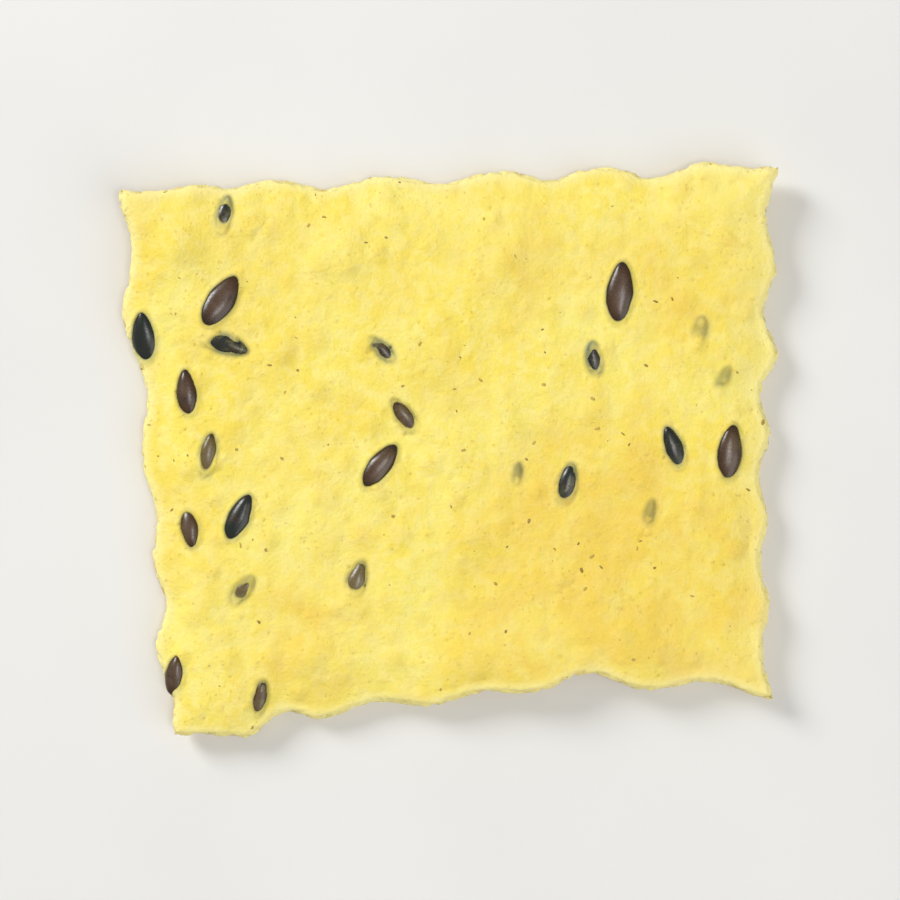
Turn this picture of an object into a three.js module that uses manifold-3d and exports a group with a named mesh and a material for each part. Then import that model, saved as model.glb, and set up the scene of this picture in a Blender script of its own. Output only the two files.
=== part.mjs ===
// Flaxseed biscuit: one thin square of yellow dough, cut out with a fluted wheel and baked crisp, with
// whole flaxseeds lying in both of its faces.
//
// Millimetres, +Z up. X runs along the longer side, Y away from the front cut, Z through the thickness.
// The origin is on the surface that the biscuit rests on, below the middle of its bounding box.
import * as THREE from 'three';
import { mergeVertices } from 'three/addons/utils/BufferGeometryUtils.js';
import Module from 'manifold-3d';

// ---- The outline ----
// The four cuts of the fluted wheel, counterclockwise from the front left corner. Each flute tip is
// [share of the cut, how far out of the straight line between the corners, depth of the hollow after it].
// blunt shapes the hollows: above 1 they are narrow notches between round tips, below 1 wide scoops
// between pointed tips.
const CUTS = [
  {
    corner: [-22.4, -23.2],
    blunt: 1.0,
    tips: [
      [0, 0, 0.1], [0.12, 0.6, 1.2], [0.25, -0.6, 0.8],
      [0.43, -1.1, 0.5], [0.6, -1.8, 1.4], [0.79, -1.4, 1.0],
    ],
  },
  {
    corner: [26.2, -20.3],
    blunt: 0.8,
    tips: [
      [0, 0, 0.7], [0.18, -0.2, 0.7], [0.34, -0.4, 0.8],
      [0.5, -0.3, 1.1], [0.65, 0.3, 1.1], [0.81, 0.1, 0.9],
    ],
  },
  {
    corner: [26.6, 22.9],
    blunt: 1.4,
    tips: [
      [0, 0, 0.2], [0.1, 0.7, 1.0], [0.27, 0.6, 0.8], [0.42, 0.6, 0.8],
      [0.6, 0.5, 0.8], [0.77, 0.5, 0.4], [0.89, 0.3, 0.3],
    ],
  },
  {
    corner: [-26.8, 21.0],
    blunt: 1.1,
    tips: [[0, 0, 0.9], [0.23, 0.9, 1.1], [0.5, 0.5, 0.7], [0.68, 0.4, 0.9], [0.84, 0.9, 0.5]],
  },
];
const STEPS_PER_FLUTE = 9;

// ---- The dough sheet ----
const MIDDLE_THICKNESS = 2.3;
const RIM_THICKNESS = 1.7; // where the wheel pressed it
const PRESSED_BAND = 4.0; // how far in from the rim the sheet still gets thicker
const RIM_ROUNDING = 0.5;

// Where baking curled the sheet up off the tray: [x, y, reach, rise].
const CURLS = [
  [9, -25, 17, 1.8],
  [-29, 23, 18, 1.6],
  [29, 24, 16, 1.2],
  [28, -22, 13, 0.8],
  [-25, -26, 14, 0.8],
];

// The rest of the underside is flat, and four of its seeds hold it this far off the table.
const STANDS_OFF = 0.1;

// Steam lifted soft blisters in the top and left shallow hollows below.
const BLISTERS = { count: 22, spread: [47, 39], radius: [2.0, 4.6], height: [0.08, 0.36] };
const HOLLOWS = { count: 15, spread: [44, 37], radius: [1.8, 3.4], height: [0.1, 0.3] };
const HOLLOW_FREE_RADIUS = 6; // the flat spot in the middle of the underside
const SWELL = { height: 0.1, along: 0.52, across: 0.43 }; // slow waves left by the rolling pin, per mm

// ---- The seeds ----
const SEED_WIDTH = 0.47; // of its length
const SEED_THICKNESS = 1.0;
const SEED_POINT = 0.26; // how much narrower a seed is towards its pointed end
const SEED_SIDES = 6;
const SEED_RINGS = 4;
const EDGE_UP = Math.PI / SEED_SIDES; // turned this far on its long axis, an edge is its lowest line
const PROUD = 0.45; // how far a fully bare seed stands above the dough
const LEAST_DIP = 2; // degrees that a bare seed's blunt end lies lower than its point
const MOST_DIP = 16; // and a nearly covered one's

// Seeds that show on the top: [x, y, length, turn of the pointed end from +X in degrees, how bare it lies,
// from 1 on the surface to 0 under the skin].
const TOP_SEEDS = [
  [-18.3, 18.7, 3.6, 80, 0.4],
  [-18.5, 12.1, 4.9, 57, 1.0],
  [-18.4, 8.6, 4.2, -16, 0.5],
  [-24.8, 9.1, 4.2, 94, 0.95],
  [-21.3, 4.6, 3.8, 94, 0.95],
  [-19.6, -0.5, 3.7, 80, 0.6],
  [-21.1, -6.3, 3.4, -80, 0.8],
  [-17.1, -5.5, 4.1, 65, 0.95],
  [-17.0, -11.6, 3.4, 50, 0.35],
  [-22.3, -18.2, 3.4, 80, 0.8],
  [-15.5, -20.2, 3.3, 77, 0.6],
  [-7.6, -10.6, 3.5, 72, 0.55],
  [-5.7, -1.3, 4.3, 52, 0.9],
  [-3.6, 2.6, 3.6, 125, 0.6],
  [-5.3, 7.9, 3.2, 135, 0.35],
  [13.7, 12.7, 5.1, 84, 1.0],
  [11.7, 7.1, 3.4, 100, 0.4],
  [18.1, 0.1, 3.7, 110, 0.75],
  [22.6, -0.2, 4.7, 83, 1.0],
  [9.4, -2.9, 3.7, 75, 0.6],
];

// Seeds in the underside: the four that the biscuit stands on, as [x, y, length, turn], and all the others.
const RESTING_SEEDS = [
  [-20.5, -13.0, 4.3, 24],
  [22.6, -11.5, 3.9, 10],
  [22.5, 7.4, 4.1, 110],
  [-19.5, 10.0, 4.4, -12],
];
const UNDER_SEEDS = { count: 24, spread: [45, 38], length: [3.5, 4.8] };
const UNDER_SEED_PROUD = 0.12; // where the underside curled up
const UNDER_SEED_SUNK = 0.01; // where it is flat, so that the seed's faces stay off the dough's
const FULL_TURN = 360;
const SLOPE_REACH = 0.5; // a seed follows the slope of the dough this far round it

// ---- Spreading by rule ----
const share = (x) => x - Math.floor(x);
const between = ([low, high], s) => low + (high - low) * s;
const smooth = (s) => {
  const c = Math.min(1, Math.max(0, s));
  return c * c * (3 - 2 * c);
};

// The i-th of a set of places that fill a rectangle evenly without lining up, with two draws for its sizes.
const ACROSS = 0.7548776662;
const ALONG = 0.569840291;
const GOLDEN = 0.6180339887;
const SILVER = 0.4142135624;
function evenPlace(i, [width, depth], start) {
  return {
    x: (share(start + i * ACROSS) - 0.5) * width,
    y: (share(start + i * ALONG) - 0.5) * depth,
    first: share(start + i * GOLDEN),
    second: share(start + i * SILVER),
  };
}

function bumps({ count, spread, radius, height }, start) {
  return Array.from({ length: count }, (_, i) => {
    const { x, y, first, second } = evenPlace(i, spread, start);
    return { x, y, radius: between(radius, first), height: between(height, second) };
  });
}

const BLISTERS_START = 0.5;
const HOLLOWS_START = 0.27;
const UNDER_SEEDS_START = 0.13;
const blisters = bumps(BLISTERS, BLISTERS_START);
const hollows = bumps(HOLLOWS, HOLLOWS_START)
  .filter(({ x, y, radius }) => Math.hypot(x, y) > radius + HOLLOW_FREE_RADIUS);

const domes = (list, x, y) =>
  list.reduce((sum, b) => {
    const d = Math.hypot(x - b.x, y - b.y) / b.radius;
    return d < 1 ? sum + b.height * (1 - d * d) ** 2 : sum;
  }, 0);

// ---- The outline as points ----
function outlinePoints() {
  const points = [];
  CUTS.forEach(({ corner, blunt, tips }, c) => {
    const next = CUTS[(c + 1) % CUTS.length].corner;
    const along = new THREE.Vector2(next[0] - corner[0], next[1] - corner[1]);
    const outward = new THREE.Vector2(along.y, -along.x).normalize();
    tips.forEach(([at, out, hollow], k) => {
      const [nextAt, nextOut] = tips[k + 1] ?? [1, 0];
      for (let i = 0; i < STEPS_PER_FLUTE; i += 1) {
        const v = i / STEPS_PER_FLUTE;
        const scoop = hollow * ((1 - Math.cos(2 * Math.PI * v)) / 2) ** blunt;
        points.push(
          new THREE.Vector2(...corner)
            .addScaledVector(along, at + (nextAt - at) * v)
            .addScaledVector(outward, out + (nextOut - out) * v - scoop),
        );
      }
    });
  });
  return points;
}

const outline = outlinePoints();

// How far a point inside the outline is from the rim.
const fromRim = (x, y) => Math.min(...outline.map((p) => Math.hypot(p.x - x, p.y - y)));

// ---- The two faces ----
const curl = (x, y) =>
  CURLS.reduce((sum, [cx, cy, reach, rise]) => {
    const d = Math.hypot(x - cx, y - cy) / reach;
    return d < 1 ? sum + rise * (1 - d) ** 2 * (1 + 2 * d) : sum;
  }, 0);

function heights(x, y, inset) {
  const inner = smooth(inset / PRESSED_BAND);
  const full = between([RIM_THICKNESS, MIDDLE_THICKNESS], inner);
  const round = 1 - Math.sqrt(1 - (1 - Math.min(1, inset / RIM_ROUNDING)) ** 2);
  const swell = SWELL.height * Math.sin(x * SWELL.along) * Math.cos(y * SWELL.across);
  const raised = STANDS_OFF + curl(x, y);
  return {
    top: raised + full * (1 - round / 2) + inner * (domes(blisters, x, y) + swell),
    bottom: raised + (full * round) / 2 + inner * domes(hollows, x, y),
  };
}

// ---- The sheet as rings, from the rim to the middle of each face ----
// Each group is [points to skip on the outline, insets of its rings in mm].
const RINGS = [
  [1, [0.15, 0.5, 1.1, 2.0]],
  [2, [3.2, 4.5, 5.9, 7.3, 8.7]],
  [4, [10.3, 12.0, 13.8, 15.6, 17.4]],
  [8, [19.2, 21.2]],
];
const HALF_WIDTH = 24; // the inset that reaches the middle

function sheetGeometry() {
  const positions = [];
  const triangles = [];
  const put = (x, y, z) => positions.push(x, y, z) / 3 - 1;

  const ring = (skip, inset, face) => {
    const loop = [];
    for (let i = 0; i < outline.length; i += skip) {
      const { x, y } = outline[i].clone().multiplyScalar(1 - inset / HALF_WIDTH);
      loop.push(put(x, y, heights(x, y, fromRim(x, y))[face]));
    }
    return loop;
  };

  // Triangles between an outer loop and an inner one that has as many points, or half as many.
  const band = (outer, inner, upward) => {
    const add = (a, b, c) => triangles.push(...(upward ? [a, b, c] : [a, c, b]));
    const each = outer.length / inner.length;
    for (let k = 0; k < inner.length; k += 1) {
      const a = outer[k * each];
      const b = outer[(k * each + each) % outer.length];
      const [c, d] = [inner[k], inner[(k + 1) % inner.length]];
      if (each === 1) {
        add(a, b, d);
        add(a, d, c);
      } else {
        const middle = outer[k * each + 1];
        add(a, middle, c);
        add(middle, d, c);
        add(middle, b, d);
      }
    }
  };

  const rim = ring(1, 0, 'top');
  for (const face of ['top', 'bottom']) {
    let last = rim;
    for (const [skip, insets] of RINGS) {
      for (const inset of insets) {
        const next = ring(skip, inset, face);
        band(last, next, face === 'top');
        last = next;
      }
    }
    const middle = put(0, 0, heights(0, 0, fromRim(0, 0))[face]);
    last.forEach((a, k) => {
      const b = last[(k + 1) % last.length];
      triangles.push(...(face === 'top' ? [a, b, middle] : [a, middle, b]));
    });
  }
  return new THREE.BufferGeometry()
    .setAttribute('position', new THREE.Float32BufferAttribute(positions, 3))
    .setIndex(triangles);
}

// ---- Seeds ----
// One flaxseed lying along X, its pointed end towards +X: a flat oval, a few faces round.
function seedGeometry(length) {
  const geometry = new THREE.SphereGeometry(0.5, SEED_SIDES, SEED_RINGS, EDGE_UP).rotateZ(-Math.PI / 2);
  const position = geometry.getAttribute('position');
  for (let i = 0; i < position.count; i += 1) {
    const towardsPoint = Math.max(0, position.getX(i)) * 2;
    position.setY(i, position.getY(i) * (1 - SEED_POINT * towardsPoint));
  }
  return geometry.scale(length, length * SEED_WIDTH, SEED_THICKNESS);
}

// Puts a seed in a face: turned, with its blunt end dipped, and laid along the slope of the face.
function laidSeed({ x, y, z, length, turn, dip, face }) {
  const height = (px, py) => heights(px, py, fromRim(px, py))[face];
  const normal = new THREE.Vector3(
    height(x - SLOPE_REACH, y) - height(x + SLOPE_REACH, y),
    height(x, y - SLOPE_REACH) - height(x, y + SLOPE_REACH),
    2 * SLOPE_REACH,
  ).normalize();
  const up = new THREE.Vector3(0, 0, 1);
  const pose = new THREE.Object3D();
  pose.position.set(x, y, z);
  pose.quaternion.setFromUnitVectors(up, normal);
  pose.rotateZ(THREE.MathUtils.degToRad(turn));
  pose.rotateY(-THREE.MathUtils.degToRad(dip));
  pose.updateMatrix();
  return seedGeometry(length).applyMatrix4(pose.matrix);
}

function topSeeds() {
  return TOP_SEEDS.map(([x, y, length, turn, bare]) => {
    const surface = heights(x, y, fromRim(x, y)).top;
    const z = surface + PROUD * bare - SEED_THICKNESS / 2;
    return laidSeed({ x, y, z, length, turn, dip: between([MOST_DIP, LEAST_DIP], bare), face: 'top' });
  });
}

// Seeds in the underside are pressed level with it where it is flat, and stand a little proud where it curls.
function underSeeds() {
  return Array.from({ length: UNDER_SEEDS.count }, (_, i) => {
    const { x, y, first, second } = evenPlace(i, UNDER_SEEDS.spread, UNDER_SEEDS_START);
    const length = between(UNDER_SEEDS.length, first);
    const surface = heights(x, y, fromRim(x, y)).bottom;
    const proud = Math.min(UNDER_SEED_PROUD, surface - STANDS_OFF);
    const z = surface - proud + UNDER_SEED_SUNK + SEED_THICKNESS / 2;
    return laidSeed({ x, y, z, length, turn: second * FULL_TURN, dip: 0, face: 'bottom' });
  });
}

// The resting seeds lie level, each with the lowest point of its shell on the table.
function restingSeeds() {
  return RESTING_SEEDS.map(([x, y, length, turn]) =>
    seedGeometry(length)
      .rotateZ(THREE.MathUtils.degToRad(turn))
      .translate(x, y, SEED_THICKNESS / 2),
  );
}

// ---- Joining ----
const SAME_POINT = 1e-4; // vertices nearer than this are one

const wasm = await Module();
wasm.setup();

function solid(geometry) {
  const bare = geometry.clone();
  bare.deleteAttribute('normal');
  bare.deleteAttribute('uv');
  const merged = mergeVertices(bare, SAME_POINT);
  return new wasm.Manifold(
    new wasm.Mesh({
      numProp: 3,
      vertProperties: new Float32Array(merged.getAttribute('position').array),
      triVerts: new Uint32Array(merged.index.array),
    }),
  );
}

function joined(geometries) {
  const whole = geometries.map(solid).reduce((sum, next) => sum.add(next));
  const mesh = whole.getMesh();
  return new THREE.BufferGeometry()
    .setAttribute('position', new THREE.Float32BufferAttribute(mesh.vertProperties, 3))
    .setIndex(Array.from(mesh.triVerts));
}

// Slides the biscuit so that it stands on the level of the origin, with its bounding box centred above it.
function centred(geometry) {
  geometry.computeBoundingBox();
  const { min, max } = geometry.boundingBox;
  return geometry.translate(-(min.x + max.x) / 2, -(min.y + max.y) / 2, -min.z);
}

function biscuitMesh() {
  const geometry = centred(joined([sheetGeometry(), ...topSeeds(), ...underSeeds(), ...restingSeeds()]));
  geometry.computeVertexNormals();
  const dough = new THREE.MeshStandardMaterial({ color: 0xf5dc72, roughness: 0.8, metalness: 0 });
  const mesh = new THREE.Mesh(geometry, dough);
  mesh.name = 'biscuit';
  return mesh;
}

const biscuit = new THREE.Group();
biscuit.add(biscuitMesh());

export default biscuit;
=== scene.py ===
"""Flaxseed biscuit: one thin crisp square of yellow dough, cut out with a fluted wheel.

Whole flaxseeds lie in both faces, bare or under a skin of dough, with flecks of bran between them. The file
is laid out as an add-on: each operator makes one kind of piece, in the order that main() calls them. Shape
constants are millimetres; settings and Blender objects are metres.
"""

import math

import bmesh
import bpy
import numpy as np
from bpy.props import FloatProperty, FloatVectorProperty, IntProperty, PointerProperty
from bpy.types import Operator, Panel, PropertyGroup
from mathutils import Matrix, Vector
from mathutils.kdtree import KDTree


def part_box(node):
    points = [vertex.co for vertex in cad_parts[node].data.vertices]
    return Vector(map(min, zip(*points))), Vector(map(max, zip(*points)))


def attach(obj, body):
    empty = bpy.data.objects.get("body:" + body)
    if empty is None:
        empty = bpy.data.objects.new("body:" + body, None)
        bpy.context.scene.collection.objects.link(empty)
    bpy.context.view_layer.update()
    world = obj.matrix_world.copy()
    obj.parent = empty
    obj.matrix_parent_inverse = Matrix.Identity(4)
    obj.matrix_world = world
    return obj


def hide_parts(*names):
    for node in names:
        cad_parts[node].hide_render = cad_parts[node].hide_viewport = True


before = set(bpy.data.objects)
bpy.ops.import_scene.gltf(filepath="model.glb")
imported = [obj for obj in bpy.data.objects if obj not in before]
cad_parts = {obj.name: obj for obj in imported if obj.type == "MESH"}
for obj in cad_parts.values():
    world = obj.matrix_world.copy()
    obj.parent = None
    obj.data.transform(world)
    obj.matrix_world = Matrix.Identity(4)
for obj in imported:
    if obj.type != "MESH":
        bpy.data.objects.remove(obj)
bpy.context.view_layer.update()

bl_info = {
    "name": "Flaxseed biscuit",
    "version": (1, 0, 0),
    "blender": (4, 5, 0),
    "location": "3D Viewport > Sidebar > Biscuit",
    "description": "Rolls, seeds and bakes one thin square flaxseed biscuit",
    "category": "Add Mesh",
}

MM = 0.001


# ---- Settings ----


def paint(red, green, blue):
    """A colour as it looks on screen, from 0 to 255, as scene-linear numbers."""
    def linear(value):
        share = value / 255
        return share / 12.92 if share <= 0.04045 else ((share + 0.055) / 1.055) ** 2.4
    return (linear(red), linear(green), linear(blue), 1)


def length_setting(name, millimetres, description):
    default = millimetres * MM
    return FloatProperty(name=name, description=description, default=default, unit="LENGTH", precision=5)


def share_setting(name, default, description, low, high):
    return FloatProperty(
        name=name, description=description, default=default, min=low, max=high, subtype="FACTOR"
    )


def power_setting(name, watts, description):
    return FloatProperty(name=name, description=description, default=watts, min=0, unit="POWER")


def colour_setting(name, colour, description):
    return FloatVectorProperty(
        name=name, description=description, default=paint(*colour), size=4, subtype="COLOR", min=0, max=1
    )


def numbers_of(settings, *left_out):
    """The plain numbers among settings, by the names that the panel and the node trees show."""
    return {
        item.name: getattr(settings, item.identifier) for item in settings.bl_rna.properties
        if item.type in ("FLOAT", "INT") and not item.is_array and item.identifier not in left_out
    }


# ---- Shape of the dough, in millimetres ----

# The four cuts, counterclockwise from the front left corner. Each flute tip is (share of the cut, how far
# out of the line between the corners, depth of the hollow after it). A blunt above 1 makes the hollows
# narrow notches between round tips, one below 1 wide scoops between pointed tips.
CUTS = (
    {"corner": (-22.4, -23.2), "blunt": 1,
     "tips": ((0, 0, 0.1), (0.12, 0.6, 1.2), (0.25, -0.6, 0.8), (0.43, -1.1, 0.5), (0.6, -1.8, 1.4),
              (0.79, -1.4, 1))},
    {"corner": (26.2, -20.3), "blunt": 0.8,
     "tips": ((0, 0, 0.7), (0.18, -0.2, 0.7), (0.34, -0.4, 0.8), (0.5, -0.3, 1.1), (0.65, 0.3, 1.1),
              (0.81, 0.1, 0.9))},
    {"corner": (26.6, 22.9), "blunt": 1.4,
     "tips": ((0, 0, 0.2), (0.1, 0.7, 1), (0.27, 0.6, 0.8), (0.42, 0.6, 0.8), (0.6, 0.5, 0.8),
              (0.77, 0.5, 0.4), (0.89, 0.3, 0.3))},
    {"corner": (-26.8, 21), "blunt": 1.1,
     "tips": ((0, 0, 0.9), (0.23, 0.9, 1.1), (0.5, 0.5, 0.7), (0.68, 0.4, 0.9), (0.84, 0.9, 0.5))},
)
FRONT, RIGHT, BACK, LEFT = range(4)
RIM_SAMPLES = 420  # points on each cut, for distances to the rim

MIDDLE_THICKNESS = 2.3
RIM_THICKNESS = 1.7
PRESSED_BAND = 4  # how far in from the rim the sheet still gets thicker
RIM_ROUNDING = 0.5
RIM_ROWS = (0, 0.008, 0.03, 0.07, 0.13, 0.21, 0.33, 0.5)  # rows of vertices lie this far in from a cut

# Where baking curled the sheet up off the tray: (x, y, reach, rise). The rest of the underside is flat, and
# four of its seeds hold it a little off the table.
CURLS = ((9, -25, 17, 1.8), (-29, 23, 18, 1.6), (29, 24, 16, 1.2), (28, -22, 13, 0.8), (-25, -26, 14, 0.8))
STANDS_OFF = 0.1

# Broad blisters of the top and hollows of the underside: (start of the row, count, spread, radii, heights).
BLISTERS = (0.5, 22, (47, 39), (2, 4.6), (0.08, 0.36))
HOLLOWS = (0.27, 15, (44, 37), (1.8, 3.4), (0.1, 0.3))
HOLLOW_FREE_RADIUS = 6  # no hollow comes nearer to the middle
SWELL_HEIGHT, SWELL_X, SWELL_Y = 0.1, 0.52, 0.43  # gentle swelling of the top, radians on a millimetre

# Steps of a row of places that fills a rectangle evenly without lining up.
ACROSS, ALONG, GOLDEN, SILVER = 0.7548776662, 0.569840291, 0.6180339887, 0.4142135624


def even_places(start, count, spread):
    """Places in a rectangle, with two draws from 0 to 1 for each."""
    steps = np.arange(count)[:, None] * (ACROSS, ALONG, GOLDEN, SILVER)
    draws = np.modf(start + steps)[0]
    return (draws[:, :2] - 0.5) * spread, draws[:, 2], draws[:, 3]


def between(low_high, share):
    low, high = low_high
    return low + (high - low) * share


def smooth(share):
    share = np.clip(share, 0, 1)
    return share * share * (3 - 2 * share)


def bumps(start, count, spread, radii, heights):
    places, first, second = even_places(start, count, spread)
    return np.column_stack([places, between(radii, first), between(heights, second)])


def domes(rows, x, y):
    """Soft round bumps added up, each row being x, y, radius and height."""
    total = np.zeros_like(x)
    for bump_x, bump_y, radius, height in rows:
        share = np.minimum(1, np.hypot(x - bump_x, y - bump_y) / radius)
        total += height * (1 - share**2) ** 2
    return total


blisters = bumps(*BLISTERS)
hollows = bumps(*HOLLOWS)
hollows = hollows[np.hypot(hollows[:, 0], hollows[:, 1]) > hollows[:, 2] + HOLLOW_FREE_RADIUS]


def cut_points(cut, shares):
    """Points of one fluted cut at these shares of its length."""
    start = np.array(CUTS[cut]["corner"])
    along = np.array(CUTS[(cut + 1) % len(CUTS)]["corner"]) - start
    outward = np.array((along[1], -along[0])) / np.hypot(*along)
    at, out, hollow = np.array(CUTS[cut]["tips"] + ((1, 0, 0),), float).T
    flute = np.clip(np.searchsorted(at, shares, side="right") - 1, 0, len(at) - 2)
    way = (shares - at[flute]) / (at[flute + 1] - at[flute])
    scoop = hollow[flute] * ((1 - np.cos(2 * np.pi * way)) / 2) ** CUTS[cut]["blunt"]
    reach = out[flute] + (out[flute + 1] - out[flute]) * way - scoop
    return start + shares[:, None] * along + reach[:, None] * outward


evenly = np.linspace(0, 1, RIM_SAMPLES, endpoint=False)
rim_line = np.concatenate([cut_points(cut, evenly) for cut in range(len(CUTS))])
centre_shift = -(rim_line.min(0) + rim_line.max(0)) / 2  # puts the biscuit's box on the middle of the frame
rim_tree = KDTree(len(rim_line))
for index, (rim_x, rim_y) in enumerate(rim_line):
    rim_tree.insert((rim_x, rim_y, 0), index)
rim_tree.balance()


def from_rim(points):
    """How far points inside the outline are from the rim."""
    nearest = np.array([rim_tree.find((x, y, 0))[1] for x, y in points])

    def to_segment(start, end):
        side = end - start
        way = np.clip(((points - start) * side).sum(1) / (side * side).sum(1), 0, 1)
        return np.linalg.norm(points - start - way[:, None] * side, axis=1)

    here = rim_line[nearest]
    ahead = rim_line[(nearest + 1) % len(rim_line)]
    return np.minimum(to_segment(rim_line[nearest - 1], here), to_segment(here, ahead))


def curl(x, y):
    """How far baking curled the sheet up."""
    total = np.zeros_like(x)
    for curl_x, curl_y, reach, rise in CURLS:
        share = np.minimum(1, np.hypot(x - curl_x, y - curl_y) / reach)
        total += rise * (1 - share) ** 2 * (1 + 2 * share)
    return total


def faces_at(points, inset):
    """Heights of the top and of the underside at points that lie this far in from the rim."""
    x, y = points.T
    inner = smooth(inset / PRESSED_BAND)
    full = between((RIM_THICKNESS, MIDDLE_THICKNESS), inner)
    rounding = 1 - np.sqrt(1 - (1 - np.minimum(1, inset / RIM_ROUNDING)) ** 2)
    swell = SWELL_HEIGHT * np.sin(x * SWELL_X) * np.cos(y * SWELL_Y)
    raised = STANDS_OFF + curl(x, y)
    top = raised + full * (1 - rounding / 2) + inner * (domes(blisters, x, y) + swell)
    bottom = raised + full * rounding / 2 + inner * domes(hollows, x, y)
    return top, bottom


# ---- Node trees and pieces ----


def makes(operation, turned=False):
    """An operator of Output that adds a Math node; turned, the other value comes first."""
    def add_node(self, other):
        return self.nodes.math(operation, *((other, self) if turned else (self, other)))
    return add_node


class Output:
    """What a node puts out. Sums written with it become Math nodes."""

    def __init__(self, nodes, socket):
        self.nodes = nodes
        self.socket = socket

    __add__, __radd__ = makes("ADD"), makes("ADD", turned=True)
    __sub__, __rsub__ = makes("SUBTRACT"), makes("SUBTRACT", turned=True)
    __mul__, __rmul__ = makes("MULTIPLY"), makes("MULTIPLY", turned=True)
    __truediv__, __rtruediv__ = makes("DIVIDE"), makes("DIVIDE", turned=True)
    __pow__ = makes("POWER")

    def stretch(self, low, high, to_low=0, to_high=1, shape="SMOOTHSTEP"):
        """Maps low..high to to_low..to_high, and holds it there outside."""
        feed = {"Value": self, "From Min": low, "From Max": high, "To Min": to_low, "To Max": to_high}
        return self.nodes.add("ShaderNodeMapRange", feed, interpolation_type=shape)["Result"]


class Nodes:
    """Fills a node tree."""

    def __init__(self, tree):
        self.tree = tree

    def feed(self, socket, value):
        """Links the output of a node to a socket, or sets any other value on it."""
        if isinstance(value, Output):
            self.tree.links.new(value.socket, socket)
        else:
            socket.default_value = value

    def new(self, kind, feed=None, **settings):
        """A new node, with these values fed to its inputs."""
        node = self.tree.nodes.new(kind)
        for name, value in settings.items():
            setattr(node, name, value)
        for socket, value in (feed or {}).items():
            self.feed(node.inputs[socket], value)
        return node

    def add(self, kind, feed=None, **settings):
        """The outputs of a new node, by number and by name."""
        outputs = enumerate(self.new(kind, feed, **settings).outputs)
        return {key: Output(self, socket) for index, socket in outputs for key in (index, socket.name)}

    # Numbers

    def math(self, operation, *values, clamp=False):
        return self.add("ShaderNodeMath", dict(enumerate(values)), operation=operation, use_clamp=clamp)[0]

    # Vectors

    def vector(self, operation, *values, out="Vector"):
        return self.add("ShaderNodeVectorMath", dict(enumerate(values)), operation=operation)[out]

    def scaled(self, vector, factor):
        return self.add("ShaderNodeVectorMath", {0: vector, "Scale": factor}, operation="SCALE")[0]

    def parts(self, vector):
        parts = self.add("ShaderNodeSeparateXYZ", {"Vector": vector})
        return parts["X"], parts["Y"], parts["Z"]

    def join(self, x=0, y=0, z=0):
        return self.add("ShaderNodeCombineXYZ", {0: x, 1: y, 2: z})[0]

    # Patterns

    def noise(self, place, scale, detail=2, roughness=0.5, distortion=0):
        feed = {"Vector": place, "Scale": scale, "Detail": detail, "Roughness": roughness}
        return self.add("ShaderNodeTexNoise", feed | {"Distortion": distortion})["Fac"]

    def stray(self, place, scale):
        """A wandering vector of up to half a unit each way."""
        noise = self.add("ShaderNodeTexNoise", {"Vector": place, "Scale": scale, "Detail": 1})
        return self.vector("SUBTRACT", noise["Color"], (0.5, 0.5, 0.5))

    def cells(self, place, scale, dimensions="3D"):
        """Distance to the nearest of scattered points, and three random numbers for that point."""
        feed = {"Vector": place, "Scale": scale}
        cells = self.add("ShaderNodeTexVoronoi", feed, voronoi_dimensions=dimensions)
        return cells["Distance"], self.parts(cells["Color"])

    # Colours

    def mix(self, share, first, second):
        """Two colours mixed: in a Mix node, colours are the inputs 6 and 7 and the output 2."""
        feed = {0: share, 6: first, 7: second}
        return self.add("ShaderNodeMix", feed, data_type="RGBA", clamp_factor=True)[2]

    def layers(self, ground, *layers):
        """A ground colour under layers of (mask, strength, colour), from the lowest to the top one."""
        for mask, strength, colour in layers:
            ground = self.mix(mask * strength, ground, colour)
        return ground

    # Geometry

    def place(self):
        return self.add("GeometryNodeInputPosition")[0]

    def read(self, name, kind="FLOAT"):
        return self.add("GeometryNodeInputNamedAttribute", {"Name": name}, data_type=kind)["Attribute"]

    def store(self, geometry, name, value, domain="POINT"):
        feed = {"Geometry": geometry, "Name": name, "Value": value}
        return self.add("GeometryNodeStoreNamedAttribute", feed, data_type="FLOAT", domain=domain)[0]

    def shape_of(self, piece):
        return self.add("GeometryNodeObjectInfo", {"Object": piece}, transform_space="ORIGINAL")["Geometry"]

    def ball(self, segments, rings):
        feed = {"Segments": segments, "Rings": rings, "Radius": 0.5}
        return self.add("GeometryNodeMeshUVSphere", feed)["Mesh"]

    def moved(self, geometry, **where):
        """The geometry with its points at a Position, or moved by an Offset."""
        return self.add("GeometryNodeSetPosition", {"Geometry": geometry, **where})[0]

    def laid(self, points, shape, upright, turn, size):
        """Copies of a shape on the points, sized, and turned about their own upright."""
        turn = self.add("FunctionNodeEulerToRotation", {"Euler": turn})[0]
        feed = {"Rotation": upright, "Rotate By": turn}
        turned = self.add("FunctionNodeRotateRotation", feed, rotation_space="LOCAL")[0]
        feed = {"Points": points, "Instance": shape, "Rotation": turned, "Scale": size}
        return self.add("GeometryNodeInstanceOnPoints", feed)[0]

    def whole(self, geometry):
        return self.add("GeometryNodeRealizeInstances", {"Geometry": geometry})[0]

    def above_tray(self, geometry):
        """Presses flat what reaches below the tray."""
        x, y, z = self.parts(self.place())
        return self.moved(geometry, Position=self.join(x, y, self.math("MAXIMUM", z, 0)))

    def finish(self, result, geometry, material):
        """Ends the tree with a smooth, real mesh with its material."""
        smooth_mesh = self.whole(self.add("GeometryNodeSetShadeSmooth", {"Geometry": geometry})[0])
        made = self.add("GeometryNodeSetMaterial", {"Geometry": smooth_mesh, "Material": material})[0]
        self.feed(result["Geometry"], made)
        return self.tree


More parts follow.
